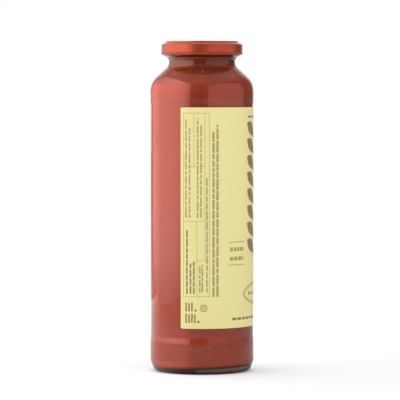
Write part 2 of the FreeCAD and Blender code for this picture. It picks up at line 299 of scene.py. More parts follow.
# %% [markdown]
# ### Glass
# Container glass is clear, with a faint body that only its thick parts show. In a path tracer a glass
# shader bends every ray, also the rays that ask whether a lamp can be seen, and so what is inside stays
# dark and noisy. The usual cure is to let those shadow rays pass straight through: a Light Path node swaps
# in a Transparent shader. Only the thick foot holds them back, and so the jar stands on a dark line.

# %% Glass
GLASS_DENSITY = 60.0                         # per metre: the wall takes a tenth, the whole base nearly all
THICK_FOOT = (0.002, 0.0035)                 # metres: shadow rays are held back below, and pass above


def make_glass():
    """Smooth clear glass, slightly drawn along its height, with absorption inside."""
    material, tree, output = new_material("flint_glass")
    place = object_place(tree, (1, 1, 0.25))
    drawn = noise(tree, place, 60, 2)
    glass = add(tree, "ShaderNodeBsdfPrincipled", {
        "Base Color": srgb(246, 250, 247), "Roughness": 0.0, "IOR": 1.52, "Transmission Weight": 1.0,
        "Normal": bump(tree, drawn, 0.02)})
    thin = remap(tree, height_up(tree), *THICK_FOOT)
    passed = blend_colours(tree, thin, (0.02, 0.02, 0.02, 1.0), srgb(246, 249, 247))
    clear = add(tree, "ShaderNodeBsdfTransparent", {"Color": passed})
    ray = add(tree, "ShaderNodeLightPath")
    mix = add(tree, "ShaderNodeMixShader", {0: ray.outputs["Is Shadow Ray"], 1: glass.outputs[0],
                                            2: clear.outputs[0]})
    body = add(tree, "ShaderNodeVolumeAbsorption", {
        "Color": (0.30, 0.20, 0.18, 1.0), "Density": GLASS_DENSITY})
    tree.links.new(mix.outputs[0], output.inputs["Surface"])
    tree.links.new(body.outputs[0], output.inputs["Volume"])
    return material


flint_glass = make_glass()
print("finish:", flint_glass.name)

# %% [markdown]
# ### Sauce
# Against the glass a tomato sauce is a smooth, wet red-brown: fine pulp in a thin orange oil. Its colour
# wavers over centimetres where it has settled, and over a millimetre where single shreds of pulp lie on
# the wall. Two scales of noise give that, and a tinted gloss gives the oil's warm shine. A ramp over the
# height paints light and shade into the colour: painted light low on the body, paler at the top of the
# shoulder and just below the lid, and painted shade at the foot, in a band at the low ring and in the neck
# under the lid. The gloss is dimmed the same way, as painted shade, in the neck and at the foot.

# %% Sauce
SAUCE_DEEP, SAUCE_SETTLED = srgb(193, 77, 44), srgb(203, 80, 48)
SAUCE_PULP = srgb(228, 97, 59)
# painted light and shade by height: height in millimetres, brightness, and how much of its green and blue is
# kept
SAUCE_PAINTED_SHADING = (
    (4, 0.38, 1.1), (8, 0.58, 1.0), (17, 0.58, 1.0), (20, 0.46, 1.0), (23, 0.58, 1.0), (70, 0.48, 1.0),
    (200, 0.5, 1.0), (205, 0.6, 1.2), (208.5, 0.52, 1.3), (211.5, 0.25, 1.0), (215.9, 0.25, 1.0),
    (217.1, 0.8, 1.0))
OIL_GLOSS = (1.0, 0.13, 0.055, 1.0)          # colour of the gloss on the body of the sauce
NECK_SHADED_GLOSS = (0.4, 0.06, 0.03, 1.0)          # and dimmed in the neck and at the foot, as painted shade on the gloss
FOOT_SHADED_GLOSS = (0.45, 0.06, 0.04, 1.0)
NECK_GLOSS_SHADING, FOOT_GLOSS_SHADING = (0.2115, 0.2085), (0.004, 0.009)      # metres: from painted shade to the full gloss


def make_sauce_finish():
    """Two noises for the colour, a Voronoi height for pulp, and painted light and shade by height in colour
    and gloss.
    """
    material, tree, output = new_material("tomato_sauce")
    place = object_place(tree)
    settled = remap(tree, noise(tree, place, 45, 2), 0.35, 0.65)
    pulp = remap(tree, noise(tree, place, 700, 4, 0.6), 0.45, 0.75)
    cells = add(tree, "ShaderNodeTexVoronoi", {"Vector": place, "Scale": 420.0, "Randomness": 1.0})
    shreds = remap(tree, cells.outputs["Distance"], 0.05, 0.45, 1.0, 0.0)
    base = blend_colours(tree, settled, SAUCE_DEEP, SAUCE_SETTLED)
    sauce_colour = blend_colours(tree, pulp, base, SAUCE_PULP)
    height = height_up(tree)
    # painted light and shade: a ramp over the height, from the floor to the sauce's level, multiplies the
    # colour
    level = remap(tree, height, 0.0, LEVEL * MM)
    painted_shading = add(tree, "ShaderNodeValToRGB", {"Fac": level})
    stops = painted_shading.color_ramp.elements
    for number, (at, bright, kept) in enumerate(SAUCE_PAINTED_SHADING):
        stop = stops[number] if number < 2 else stops.new(at / LEVEL)
        stop.position, stop.color = at / LEVEL, (bright, bright * kept, bright * kept, 1.0)
    sauce_colour = blend_colours(tree, 1.0, sauce_colour, painted_shading.outputs["Color"], "MULTIPLY")
    # painted shade on the gloss: dimmed in the neck and at the foot
    gloss = blend_colours(tree, remap(tree, height, *NECK_GLOSS_SHADING), NECK_SHADED_GLOSS, OIL_GLOSS)
    gloss = blend_colours(tree, remap(tree, height, *FOOT_GLOSS_SHADING), FOOT_SHADED_GLOSS, gloss)
    coated(tree, output, {
        "Base Color": sauce_colour, "Roughness": 0.18, "IOR": 2.1, "Specular IOR Level": 0.85,
        "Specular Tint": gloss, "Normal": bump(tree, shreds, 0.05, 0.4)})
    return material


def make_bubble_skin():
    """Thin oil over air: pale orange and very glossy, a little different from one bubble to the next."""
    material, tree, output = new_material("bubble_skin")
    drift = noise(tree, object_place(tree), 300, 1)
    colour = blend_colours(tree, drift, srgb(236, 128, 88), srgb(246, 160, 120))
    coated(tree, output, {"Base Color": colour, "Roughness": 0.08})
    return material


tomato_sauce, bubble_skin = make_sauce_finish(), make_bubble_skin()
print("finishes:", tomato_sauce.name, bubble_skin.name)

# %% [markdown]
# ### Lid lacquer, sealing compound, paper and ink
# The lid is tinplate under a translucent orange-red lacquer, so a little of its shine is coloured like
# metal and the rest is the clear gloss of the lacquer. The compound under it is a matt, milky rubber. The
# label is coated paper: pale yellow with a fine tooth and a soft sheen. The ink is the same paper, darker.

# %% Lid, compound, paper and ink
def make_lacquer():
    """Tinted metal with a clear coat, and a fine orange peel in the coat."""
    material, tree, output = new_material("lid_lacquer")
    place = object_place(tree)
    peel = noise(tree, place, 900, 2)
    drift = remap(tree, noise(tree, place, 120, 3), 0.3, 0.7)
    colour = blend_colours(tree, drift, srgb(187, 71, 40), srgb(194, 76, 43))
    coated(tree, output, {
        "Base Color": colour, "Metallic": 0.7, "Roughness": 0.34,
        "Coat Weight": 0.4, "Coat Roughness": 0.12, "Normal": bump(tree, peel, 0.01)})
    return material


def make_compound():
    """Milky rubber: matt, with a fine grain."""
    material, tree, output = new_material("sealing_compound")
    grain = noise(tree, object_place(tree), 1500)
    coated(tree, output, {
        "Base Color": srgb(222, 214, 198), "Roughness": 0.55, "Normal": bump(tree, grain, 0.02)})
    return material


PAPER = srgb(234, 223, 154)
INK = srgb(143, 120, 76)
FINE_INK = srgb(180, 165, 108)               # thin strokes let the paper through


def make_paper(name, colour, mottle):
    """Coated paper: fibres as fine noise in the height, and slow clouds of the colour times mottle."""
    material, tree, output = new_material(name)
    place = object_place(tree)
    fibres = noise(tree, place, 2600, 5, 0.65)
    clouds = remap(tree, noise(tree, place, 160, 3), 0.3, 0.7)
    darker = tuple(c * mottle for c in colour[:3]) + (1.0,)
    coated(tree, output, {
        "Base Color": blend_colours(tree, clouds, colour, darker), "Roughness": 0.4,
        "Specular IOR Level": 0.5, "Normal": bump(tree, fibres, 0.012, 0.6)})
    return material


lid_lacquer = make_lacquer()
sealing_compound = make_compound()
label_paper = make_paper("label_paper", PAPER, 0.985)
label_ink = make_paper("label_ink", INK, 0.94)
fine_ink = make_paper("label_fine_ink", FINE_INK, 0.94)
print("finishes:", lid_lacquer.name, sealing_compound.name, label_paper.name, label_ink.name, fine_ink.name)

# %% [markdown]
# ## The glass jar
# A jar is blown into a mould of two halves on a bottom plate. That leaves the marks that tell glass from
# plastic: a thick base with a hollow under it, a fine ridge where the plate met the halves, two faint
# upright seams, and a wall that wavers by a few hundredths of a millimetre. The outside and the inside
# are two profiles of corners, joined over the rim into one closed line, and the seams are a formula.

# %% The jar's two profiles
HEEL, LOW_RING_TOP = 8.2, 21.0
PANEL_FOOT, PANEL_TOP, HIGH_RING = 25.0, 185.2, 189.0
SHOULDER, NECK_FOOT = 199.85, 211.57
BEAD_FOOT, BEAD_EDGE, BEAD_TOP, FINISH_FOOT = 216.1, 218.5, 218.9, 219.6
FINISH = 24.4
NECK, BORE, BEAD = FINISH - 1.5, FINISH - 3.2, FINISH + 2.35
BEAD_LIP = NECK + 0.8                        # the bead's lower, nearly upright face
FOOT = RING - 2.6                            # where the heel would meet the table
STAND = FOOT - 4.9                           # inner edge of the standing ring
BASE, PUSH_UP = 4.0, 3.0
SHOULDER_ROUND, NECK_ROUND, RIM_ROUND, STEP_ROUND = 13.5, 5.6, 1.1, 20
SLOPE = math.atan2(RING - NECK, NECK_FOOT - SHOULDER)
WALL_DROP = WALL * math.tan(SLOPE / 2)       # keeps the wall even round the shoulder
STRAIGHT = 6.0                               # longest stretch of a profile without a point

outside = rounded_profile([
    (0, PUSH_UP, 0), (RING / 3, PUSH_UP, RING), (STAND - PUSH_UP / 2, PUSH_UP / 2, 3), (STAND, 0, 0.8),
    (FOOT, 0, 4.2), (RING, HEEL - 0.8, 0), (RING + PARTING, HEEL - 0.4, 0), (RING, HEEL, 0),
    (RING, LOW_RING_TOP, 3), (PANEL, PANEL_FOOT, 3), (PANEL, PANEL_TOP, STEP_ROUND),
    (RING, HIGH_RING, STEP_ROUND), (RING, SHOULDER, SHOULDER_ROUND), (NECK, NECK_FOOT, NECK_ROUND),
    (NECK, BEAD_FOOT - 0.6, 0.3), (BEAD_LIP, BEAD_FOOT + 0.2, 0.3), (BEAD_LIP + 0.1, BEAD_FOOT + 0.8, 0.3),
    (BEAD, BEAD_EDGE + 0.2, 0.1), (BEAD, BEAD_TOP + 0.1, 0.1), (FINISH, FINISH_FOOT, 0.5),
    (FINISH, RIM, RIM_ROUND), (BORE + 1.5, RIM, 0)], 9)
inside_corners = [
    (0, BASE + 1.6, 0), (RING / 4, BASE + 1.6, RING), (RING - WALL, BASE, 5), (RING - WALL, LOW_RING_TOP, 3),
    (PANEL - WALL, PANEL_FOOT, 3), (PANEL - WALL, PANEL_TOP, STEP_ROUND),
    (RING - WALL, HIGH_RING, STEP_ROUND), (RING - WALL, SHOULDER - WALL_DROP, SHOULDER_ROUND - WALL),
    (NECK - WALL, NECK_FOOT - WALL_DROP, NECK_ROUND + WALL), (NECK - WALL, BEAD_FOOT, 0.6),
    (BORE, BEAD_EDGE, 0.6)]
inside = rounded_profile(inside_corners + [(BORE, RIM, RIM_ROUND), (BORE + 1.5, RIM, 0)], 9)
glass_line = refined(np.concatenate([outside, inside[::-1][1:]]), STRAIGHT)
print("points in the glass profile:", len(glass_line))

# %% [markdown]
# Two things break the perfect turn. The seams and the wavering wall are a relief: a formula of the angle
# and the height that is added to the radius. The floor inside leans a little, because a blown floor is
# never level, and that is a formula too: it moves the points of the floor up or down.

# %% The jar's relief and its mesh
SEAM_ANGLE = math.radians(-152)
SEAM_PROUD, SEAM_WIDTH = 0.06, 0.35


def moulded(angle, height):
    """Two upright seams, each a bell curve of the distance round the jar, plus slow waves.

    The waves are held below zero, inside the solid, and die away near the heel and the neck.
    """
    off = (angle - SEAM_ANGLE + math.pi / 2) % math.pi - math.pi / 2
    seam = SEAM_PROUD * np.exp(-(off * RING / SEAM_WIDTH) ** 2) * (height > HEEL) * (height < NECK_FOOT)
    waves = 0.012 * np.sin(3 * angle + height / 23) + 0.008 * np.sin(7 * angle - height / 11 + 1)
    calm = np.clip((height - HEEL) / 10, 0, 1) * np.clip((NECK_FOOT - height) / 10, 0, 1)
    return seam + (waves - 0.02) * calm


LEAN, THIN_SIDE = 1.3, math.radians(172)     # the floor inside is this much lower, on this side


def floor_lean(points):
    """The floor inside leans: its height falls with the distance towards the thin side."""
    towards = (points[..., 0] * math.sin(THIN_SIDE) - points[..., 1] * math.cos(THIN_SIDE)) / RING
    height, radius = points[..., 2], np.hypot(points[..., 0], points[..., 1])
    near_floor = np.clip((height - PUSH_UP) / 0.8, 0, 1) * np.clip((10 - height) / 4, 0, 1)
    points[..., 2] = height - LEAN * towards * near_floor * (radius < RING - WALL + 0.6)
    return points


near_seam = np.linspace(-1.6, 1.6, 15) * SEAM_WIDTH / RING        # finer steps of angle where a seam is
seams = [SEAM_ANGLE + near_seam, SEAM_ANGLE + math.pi + near_seam]
turn = np.unique(np.concatenate([full_turn(192), *seams]).round(6))
turn[0], turn[-1] = -math.pi, math.pi
jar = mesh_piece("jar_glass", [floor_lean(turn_profile(glass_line, turn, moulded))])
put(jar, flint_glass, stands_for=["jar"])

# %% [markdown]
# ## The sauce
# What fills a glass has to touch it. If the filling stops short of the wall, a film of air shows as a
# silver skin, and if both surfaces lie in the same place they flicker. So the sauce follows the inside
# profile but stands a third of a millimetre into the wall, and only its top lies free.

# %% The sauce
INTO_WALL = 0.35
FLOOR_ROUND = 2.2                            # tight, so that the corner reaches into the wall too
fill_corners = [
    (radius + INTO_WALL * (radius > 0), height - INTO_WALL * (height < 10),
     FLOOR_ROUND if height == BASE else rounding) for radius, height, rounding in inside_corners]
fill_line = rounded_profile(fill_corners + [(BORE + INTO_WALL, LEVEL, 0.4), (0, LEVEL - 0.2, 0)], 9)
sauce = mesh_piece("sauce_fill", [floor_lean(turn_profile(refined(fill_line, STRAIGHT), full_turn(160)))])
put(sauce, tomato_sauce, stands_for=["sauce"])

# %% [markdown]
# A few bubbles of air and drops of oil always cling to the inside of the glass. Each is a tiny ball, a bit
# less than half in the sauce: a grid of latitudes and longitudes, moved to its place. Four are placed one
# by one. The rest are scattered by a seeded random draw over the shoulder and the foot, where air collects.

# %% Bubbles at the wall
# degrees round the jar, height and radius in millimetres
PLACED_BUBBLES = ((-97.0, 207.0, 0.6), (-109.6, 18.3, 0.45), (-89.5, 18.3, 0.45), (-139.9, 5.9, 0.5))
SCATTERED = 36
BANDS = ((12, 16), (206, -30))               # foot and shoulder: densest height, and reach from there


def wall_radius(height):
    """Radius of the sauce's outside at a height, read from its own profile."""
    wall = fill_line[(fill_line[:, 0] > RING - WALL - 2) | (fill_line[:, 1] > SHOULDER - WALL)][:-2]
    return np.interp(height, wall[:, 1], wall[:, 0])


def ball(angle, height, size):
    """A ball near a point of the wall: centre + size x (cos v cos u, cos v sin u, sin v)."""
    u, v = np.meshgrid(full_turn(10), np.linspace(-math.pi / 2, math.pi / 2, 7))
    radius = wall_radius(height) + 0.2 * size
    centre = np.array([radius * math.sin(angle), -radius * math.cos(angle), height])
    return centre + size * np.stack([np.cos(v) * np.cos(u), np.cos(v) * np.sin(u), np.sin(v)], axis=-1)


rng = np.random.default_rng(7)
scattered = zip(rng.uniform(-math.pi, math.pi, SCATTERED), rng.choice([1, 0], SCATTERED),
                rng.uniform(0, 1, SCATTERED) ** 1.6, rng.uniform(0.15, 0.34, SCATTERED))
balls = [ball(math.radians(angle), height, size) for angle, height, size in PLACED_BUBBLES]
for angle, band, share, size in scattered:
    densest, reach = BANDS[band]
    balls.append(ball(angle, densest + reach * share, size))
bubbles = mesh_piece("sauce_bubbles", balls)
put(bubbles, bubble_skin)

# %% [markdown]
# ## The lid
# A twist-off lid starts as a disc of tinplate. A press draws the skirt, the raised ring that lets jars
# stack and the button that the vacuum pulls down, and a roller curls the raw edge inwards. So the lid is
# one line, from the button to the end of the curl, with a thickness: the line is carried round, and so is
# a copy of it moved inwards along its own normals by the gauge of the sheet.

# %% The lid's shell
SHEET = 0.22                                 # gauge of the tinplate
CURL_IN, CURL_FOOT = BEAD + 0.12, lid_low[2]
CURL_HEAD = CURL_FOOT + 1.6
SKIRT = CURL - 0.22
STACK, STACK_WIDTH = FINISH + 0.7, 3.3       # the ring that lets jars stack
PANEL_AT = LID_TOP - 0.75                    # the sunk panel, and the button drawn down in it
BUTTON, BUTTON_AT = 9.0, PANEL_AT - 0.5

lid_line = refined(rounded_profile([
    (0, BUTTON_AT, 0), (BUTTON - 1.2, BUTTON_AT, 1), (BUTTON, PANEL_AT, 1),
    (STACK - STACK_WIDTH - 0.75, PANEL_AT, 0.6), (STACK - STACK_WIDTH, LID_TOP, 0.5), (STACK, LID_TOP, 0.4),
    (STACK + 0.1, LID_TOP - 0.85, 0.4), (SKIRT, LID_TOP - 2.3, 0.9), (SKIRT, CURL_HEAD, 0.4),
    (CURL, CURL_HEAD - 0.35, 0.3), (CURL, CURL_FOOT + 0.95, 1.6), (CURL - 0.5, CURL_FOOT, 0.3),
    (CURL_IN, CURL_FOOT, 0.15), (CURL_IN, CURL_HEAD - 0.15, 0.4), (CURL_IN + 0.7, CURL_HEAD - 0.2, 0)]), 1.5)


def offset_inwards(line, distance):
    """The line moved by a distance to its right, along the mean normal of its two sides at each point."""
    side = np.diff(line, axis=0)
    side /= np.linalg.norm(side, axis=1)[:, None]
    side = np.concatenate([side[:1], (side[:-1] + side[1:]) / 2, side[-1:]])
    side /= np.linalg.norm(side, axis=1)[:, None]
    return line + distance * np.stack([side[:, 1], -side[:, 0]], axis=1)


lid_inner = offset_inwards(lid_line, SHEET)
lid_inner[0, 0] = 0                          # its first point stays on the axis
lid_shell_line = np.concatenate([lid_line, lid_inner[::-1]])
lid = mesh_piece("lid_shell", [turn_profile(lid_shell_line, full_turn(192))])
put(lid, lid_lacquer, stands_for=["lid"])

# %% [markdown]
# Four lugs on the lid grip four ramps on the glass. Both are short bars bent round the jar: a small
# section carried through part of a turn, with ends drawn together to a point so that the bar is closed. A
# ramp starts level, where the lug seats, and then climbs, which is what pulls the lid down in a twist. The
# sealing compound keeps the frame's own mesh: it only gets its finish.

# %% Lugs and ramps
def bent_bar(corners, start, sweep, climb=0.0, steps=14):
    """A closed section carried from one angle through a sweep, climbing evenly, with its ends closed."""
    section = np.array(corners + corners[:1], float)
    centre = section[:-1].mean(axis=0)
    share = np.concatenate([[0], np.linspace(0, 1, steps), [1]])
    size = np.concatenate([[0], np.ones(steps), [0]])[:, None, None]
    ring = centre + (section - centre) * size
    angle = start + sweep * share[:, None]
    height = ring[..., 1] + climb * share[:, None]
    return np.stack([ring[..., 0] * np.sin(angle), -ring[..., 0] * np.cos(angle), height], axis=-1)


SEAT = RIM - 6.1                             # level underside of the ramps
LUG_TOP, LUG_THICK = SEAT - 0.04, 1.35
LUG_TURN, SEAT_TURN, LEAD_TURN = np.radians([20, 30, 45])
OVERLAP = math.radians(1)                    # the lead starts inside the end of the seat
LEAD_CLIMB = 2.0
in_skirt, in_wall = SKIRT - 0.11, FINISH - 0.4
lug_section = [
    (in_skirt, LUG_TOP - LUG_THICK), (FINISH + 0.85, LUG_TOP - LUG_THICK), (FINISH + 0.45, LUG_TOP - 0.9),
    (FINISH + 0.45, LUG_TOP - 0.2), (FINISH + 0.65, LUG_TOP), (in_skirt, LUG_TOP)]
ramp_section = [(in_wall, SEAT), (FINISH + 1.3, SEAT), (FINISH + 1.3, SEAT + 1.0), (in_wall, SEAT + 1.6)]
quarters = [math.pi / 2 * (k + 1) for k in range(4)]
lugs = mesh_piece("lid_lugs", [
    bent_bar(lug_section, quarter - LUG_TURN / 2, LUG_TURN) for quarter in quarters], smooth=False)
put(lugs, lid_lacquer)
seats = [bent_bar(ramp_section, quarter - SEAT_TURN / 2, SEAT_TURN) for quarter in quarters]
leads = [bent_bar(ramp_section, quarter + SEAT_TURN / 2 - OVERLAP, LEAD_TURN, LEAD_CLIMB)
         for quarter in quarters]
ramps = mesh_piece("jar_ramps", seats + leads, smooth=False)
put(ramps, flint_glass)

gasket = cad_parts["lid_gasket"]
gasket.data.materials.clear()
gasket.data.materials.append(sealing_compound)

# %% [markdown]
# ## The label
# A label is flat before it is wrapped, so everything on it is drawn flat, in millimetres: across from the
# label's middle, and up from its foot. One function then bends the drawing round the jar, which is the
# whole trick: the paper, the ink and any ripple in the paper all pass through it and stay together.

# %% Bending a flat drawing round the jar
LABEL_FOOT = label_low[2]
LABEL_HEIGHT = label_high[2] - LABEL_FOOT
LABEL_WIDTH = 151.5
CORNER = 1.3
PAPER_THICK = 0.09
RIPPLE = 0.012                               # where the glue holds less
PAPER_RADIUS = LABEL - 0.015                 # so that the ripples stay inside the frame's label


def wrapped(across, up, lift=0.0):
    """A flat point on the jar: angle = across / radius, with slow ripples in the radius."""
    angle = across / PANEL
    ripple = RIPPLE * np.sin(across / 5.3 + np.sin(up / 17)) * np.sin(up / 9.1)
    radius = PAPER_RADIUS + ripple + lift
    place = np.broadcast_arrays(radius * np.sin(angle), -radius * np.cos(angle), LABEL_FOOT + up)
    return np.stack(place, axis=-1)


def paper_grid():
    """The sheet: near the top and the foot each row is shorter by the circle of the corners."""
    near = CORNER * (1 - np.cos(np.linspace(0, math.pi / 2, 7)))
    between = np.linspace(CORNER, LABEL_HEIGHT - CORNER, 90)[1:-1]
    up = np.concatenate([near, between, LABEL_HEIGHT - near[::-1]])
    edge = np.clip(CORNER - np.minimum(up, LABEL_HEIGHT - up), 0, CORNER)
    shorter = CORNER - np.sqrt(CORNER ** 2 - edge ** 2)
    share = np.linspace(-1, 1, 260)
    across = share[None, :] * (LABEL_WIDTH / 2 - shorter[:, None])
    return wrapped(across, up[:, None])


def thicken(piece, thickness):
    """Give a single layer its thickness, in millimetres, on its inner side."""
    inner_side = piece.modifiers.new("thickness", "SOLIDIFY")
    inner_side.thickness = thickness * MM
    inner_side.offset = -1


label = mesh_piece("label_sheet", [paper_grid()], weld=False)
thicken(label, PAPER_THICK)
put(label, label_paper, stands_for=["label"])

# %% [markdown]
# ## The print
# The ink is a set of flat shapes in a film two hundredths of a millimetre thick, just clear of the paper.
# Each shape is a small grid between two edges: a bar between two lines, a ring between two ovals, a leaf
# between two arcs. Small print is set as rows of plain dashes of uneven length, which reads as print and
# says nothing.

# %% Flat shapes
LIFT, INK_FILM = 0.03, 0.02                  # outside of the ink above the paper, and its thickness
bold_print, fine_print = [], []


def ink(across, up, layer=bold_print):
    """Keep a flat shape, given as two grids of the same size."""
    layer.append(wrapped(*np.broadcast_arrays(across, up), LIFT))


def bar(left, right, foot, head, layer=bold_print):
    """A filled rectangle, cut fine enough to follow the jar."""
    across = np.linspace(left, right, 2 + int(abs(right - left) / 1.5))
    up = np.linspace(foot, head, 2 + int(abs(head - foot) / 4))
    ink(across[None, :], up[:, None], layer)


def frame_lines(left, right, foot, head, width):
    """The outline of a rectangle, in fine ink."""
    for low, high in ((foot, foot + width), (head - width, head)):
        bar(left, right, low, high, fine_print)
    for low, high in ((left, left + width), (right - width, right)):
        bar(low, high, foot, head, fine_print)


def oval_ring(across, up, half_width, half_height, width, steps):
    """The space between two ovals with one centre: a turn of angles, at two sizes."""
    angle = np.linspace(0, 2 * math.pi, steps + 1)[None, :]
    inward = np.array([0, width])[:, None]
    ink(across + (half_width - inward) * np.cos(angle), up + (half_height - inward) * np.sin(angle))


def leaf(across, up, length, width, lean, blunt=0.8):
    """A pointed leaf: its half width is a sine of the share of its length to a power, which is larger for a
    blunter tip, and the whole is turned by lean."""
    share = np.linspace(0, 1, 14)[None, :]
    side = np.linspace(-0.5, 0.5, 5)[:, None] * width * np.sin(math.pi * share ** blunt)
    along = share * length
    cos, sin = math.cos(lean), math.sin(lean)
    ink(across + along * cos - side * sin, up + along * sin + side * cos)


def dashes(start, end, place, thickness, upright, seed, words=(2.0, 7.5), gap=0.9, layer=fine_print):
    """A line of plain dashes of uneven length, upright or level."""
    rng = np.random.default_rng(seed)
    lengths = rng.uniform(*words, 200)
    ends = start + np.cumsum(lengths + gap)
    for low, high in zip(ends - lengths - gap, np.minimum(ends - gap, end)):
        if high - low < 0.8:
            break
        if upright:
            bar(place - thickness / 2, place + thickness / 2, low, high, layer)
        else:
            bar(low, high, place - thickness / 2, place + thickness / 2, layer)


# %% [markdown]
# The side of the label carries the panel that every food pack has: a ruled table with columns of small
# print, two long lines beside it, and a pair of short figures below. The front has a tall sprig of leaves,
# an oval with a plain row of lozenges, and short rows at its head and foot.

# %% The side panel
TABLE = (-73.9, -55.6, 22.0, 147.3)
HAIR = 0.28
frame_lines(*TABLE, HAIR)
for left, foot, head in ((-66.5, 110.7, 147.0), (-64.4, 22.0, 73.4), (-59.0, 46.5, 147.0)):
    bar(left, left + HAIR, foot, head, fine_print)
for left, right, height in ((-70.8, -59.0, 110.7), (-73.8, -59.0, 73.4), (-64.4, -58.2, 46.5)):
    bar(left, right, height, height + HAIR, fine_print)
for number, place in enumerate((-71.9, -69.4, -63.8, -61.5)):
    dashes(76, 144 - 5 * (number % 2), place, 1.0, True, 10 + number)
for number, place in enumerate((-71.2, -68.7, -66.4)):
    dashes(24.0, 69 if number == 0 else 46, place, 1.0, True, 20 + number, (3, 6), 0.7, bold_print)
for number, place in enumerate((-62.3, -60.6, -57.4)):
    dashes(25, 44 + 60 * (number == 2), place, 1.0, True, 30 + number)
dashes(22.0, 134.4, -52.9, 1.6, True, 40, (2.5, 8), 0.8)
dashes(22.0, 139.1, -50.1, 1.6, True, 41, (2.5, 8), 0.8)
print("flat shapes:", len(bold_print), "bold,", len(fine_print), "fine")

# %% Figures and the ring below the table
for height, places in ((15.0, (-72.3, -70.2, -68.2)), (7.2, (-72.3, -70.2, -68.2, -66.2))):
    for number, place in enumerate(places):
        bar(place, place + 1.0, height - 3.1, height + 3.1 - 0.5 * (number % 2))
    bar(places[-1] + 2.2, places[-1] + 3.6, height - 3.1, height - 1.6)
oval_ring(-59.7, 14.1, 2.5, 2.5, 0.5, 40)
oval_ring(-59.7, 14.1, 1.2, 1.2, 0.45, 30)

# %% The front
STEM_FOOT, STEM_HEAD = 42.0, 139.0
bar(-0.7, 0.7, STEM_FOOT, STEM_HEAD)
for height in np.arange(STEM_FOOT + 4, STEM_HEAD - 6, 11.5):
    for side in (-1, 1):
        lean = math.pi / 2 - side * math.radians(58)
        leaf(side * 0.8, height, 26.5, 8.5, lean, 2.2)
leaf(0, STEM_HEAD - 1, 9.0, 5.5, math.pi / 2)
oval_ring(0, 22.9, 28.2, 8.2, 0.7, 140)
oval_ring(0, 22.9, 26.6, 6.9, 0.3, 140)
for place in np.linspace(-20, 20, 9):
    leaf(place - 1.6, 22.9, 3.2, 2.6, 0.0)
dashes(-38.8, 38.8, 6.2, 1.6, False, 50, (2.2, 4.0), 1.0, bold_print)
dashes(-22.0, 22.0, 144.6, 1.3, False, 51, (2.0, 4.0), 0.9, bold_print)
for foot in (58.6, 43.0):
    frame_lines(-41.6, -27.4, foot, foot + HAIR * 2.01, HAIR)
for number, height in enumerate((54.0, 47.6)):
    dashes(-40.6, -28.2, height, 2.6, False, 60 + number, (2.0, 3.4), 0.8)
print("flat shapes:", len(bold_print), "bold,", len(fine_print), "fine")

# %% The far side of the label
for number, place in enumerate(np.arange(34.0, 47.0, 2.6)):
    dashes(60, 132, place, 0.8, True, 70 + number)
frame_lines(52.0, 71.5, 20.0, 60.0, HAIR)
stripe = 23.0
for width in np.random.default_rng(80).uniform(0.35, 1.5, 26):
    if stripe + width > 57:
        break
    bar(54.0, 69.5, stripe, stripe + width)
    stripe += 1.045 * width + 0.75           # the stripe, then a gap of about 0.8
for number, height in enumerate((70.0, 75.0, 80.0)):
    dashes(52.5, 71.0, height, 1.2, False, 90 + number)

label_print = mesh_piece("label_print", bold_print)
thicken(label_print, INK_FILM)
put(label_print, label_ink)
label_fine_print = mesh_piece("label_fine_print", fine_print, weld=False)
thicken(label_fine_print, INK_FILM)
put(label_fine_print, fine_ink)

# %% [markdown]
# ## The studio
# A round glossy thing shows the whole room, so the room is built for it. A large bright panel stands to the
# left and a weaker one to the right, with a dark gap between them at the camera, which draws the dark band
# down the middle of the jar. Three more lamps light the sauce and the paper and are left out of
# reflections. The floor and what is behind are white.

# %% Directions round the jar
VIEW = math.radians(-98)                     # where the camera stands, from the label's middle
BEHIND, LEFT = 180, -90                      # degrees beside the camera's line


def beside(degrees, distance, height):
    """A point at an angle to the right of the camera's own line, seen from the jar."""
    angle = VIEW + math.radians(degrees)
    return Vector((distance * math.sin(angle), -distance * math.cos(angle), height))


def toward(tree, place, degrees):
    """How far a place lies in a direction beside the camera's line: the dot product of the two."""
    return add(tree, "ShaderNodeVectorMath", {0: place, 1: tuple(beside(degrees, 1.0, 0.0))},
               operation="DOT_PRODUCT").outputs["Value"]


# %% [markdown]
# A soft box is brighter in its middle. An area lamp can be that too, with nodes that read where on the
# panel a ray starts, and so its reflection on the round jar has soft sides.

# %% Lamps
def panel_lamp(name, degrees, distance, width, low, high, radiance, peak=None, falloff=0.0, edge=0.3,
               dim_foot=0.0, mirrored=True):
    """A rectangle of light that faces the jar: power = radiance x pi x area.

    With a peak, a share of the width, it is brightest there: light = 1 - falloff x (share - peak) squared,
    but never below edge. Its lowest part, dim_foot metres high, fades to under half. Reflections leave it
    out unless it is mirrored.
    """
    lamp = bpy.data.lights.new(name, "AREA")
    lamp.shape = "RECTANGLE"
    lamp.size, lamp.size_y = width, high - low
    lamp.energy = radiance * math.pi * lamp.size * lamp.size_y
    if peak is not None:
        lamp.use_nodes = True
        tree = lamp.node_tree
        tree.nodes.clear()
        across = add(tree, "ShaderNodeNewGeometry").outputs["Parametric"]
        split = add(tree, "ShaderNodeSeparateXYZ", {"Vector": across})
        share, up = split.outputs["X"], split.outputs["Y"]
        off = maths(tree, "SUBTRACT", share, peak)
        lost = maths(tree, "MULTIPLY", maths(tree, "MULTIPLY", off, off), falloff)
        light = maths(tree, "MAXIMUM", maths(tree, "SUBTRACT", 1.0, lost), edge)
        if dim_foot:
            foot = remap(tree, up, 0.0, dim_foot / (high - low), 0.45, 1.0)
            light = maths(tree, "MULTIPLY", light, foot)
        glow = add(tree, "ShaderNodeEmission", {"Strength": light})
        add(tree, "ShaderNodeOutputLight", {"Surface": glow.outputs[0]})
    panel = bpy.data.objects.new(name, lamp)
    place = beside(degrees, distance, (low + high) / 2)
    panel.location = place
    panel.rotation_euler = (Vector((0, 0, place.z)) - place).to_track_quat("-Z", "Y").to_euler()
    panel.visible_camera = False
    panel.visible_glossy = mirrored
    bpy.context.scene.collection.objects.link(panel)
    print(f"{name}: {lamp.energy:.2f} W")
    return panel


